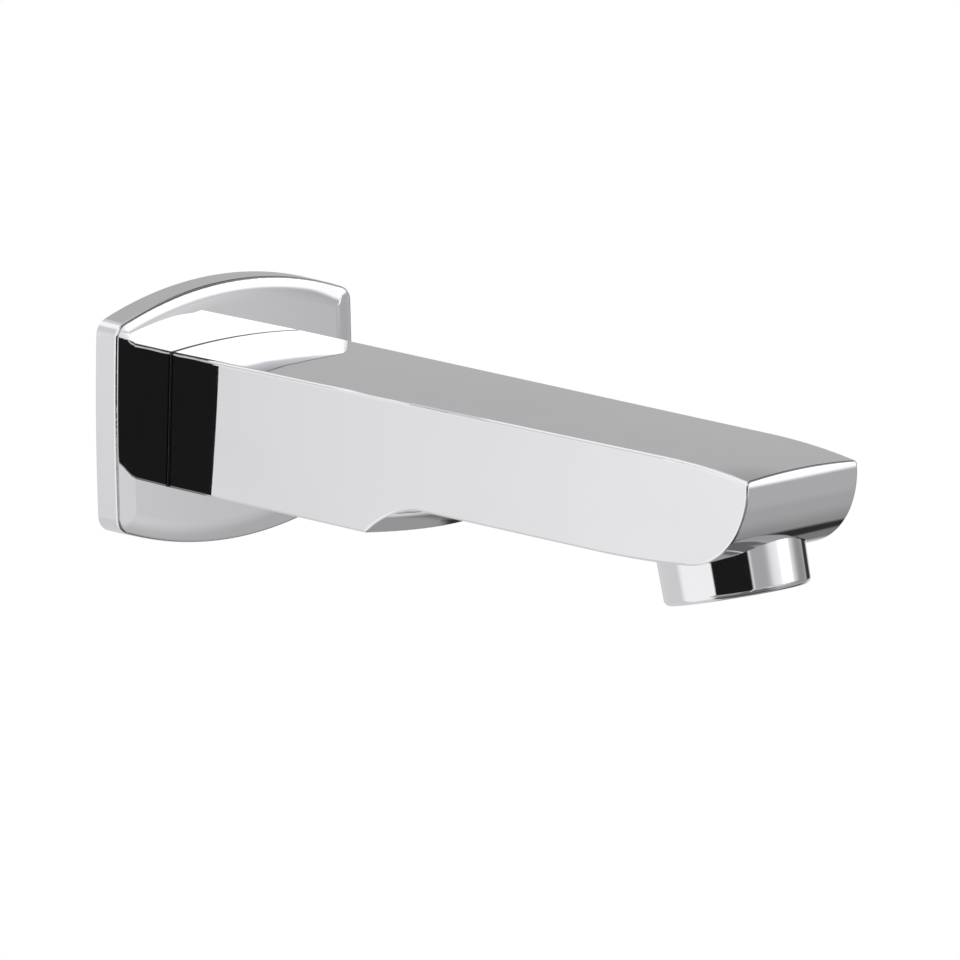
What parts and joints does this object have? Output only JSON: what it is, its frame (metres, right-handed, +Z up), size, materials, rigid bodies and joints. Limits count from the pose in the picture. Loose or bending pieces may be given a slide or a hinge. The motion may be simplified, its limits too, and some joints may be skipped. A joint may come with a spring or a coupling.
{
  "type": "bath spout",
  "caption": "Wall-mounted chrome bath spout: a straight flat-sided bar with a stepped underside and quarter-round nose, an arched wall flange and a tilted screw-in aerator.",
  "frame": {"origin": "mouth of the inlet socket, on its axis, in the plane of the wall", "axes": "+Z up, +Y into the wall, the spout reaching out along -Y, +X to the right when facing the wall"},
  "size_m": [0.0608, 0.1596, 0.0512],
  "materials": {
    "chrome": "polished chrome plate on brass",
    "rubber": "matt black rubber",
    "insert": "moulded pale grey plastic",
    "jet_plate": "moulded dark grey plastic",
    "mesh": "stainless steel wire"
  },
  "bodies": {
    "root": {"spout_body": "chrome", "wall_flange": "chrome", "flange_seal": "rubber", "aerator_housing": "chrome", "aerator_washer": "rubber", "aerator_basket": "insert", "aerator_mesh_lower": "mesh", "aerator_mesh_upper": "mesh", "aerator_jet_plate": "jet_plate", "aerator_dirt_screen": "insert"}
  },
  "joints": []
}
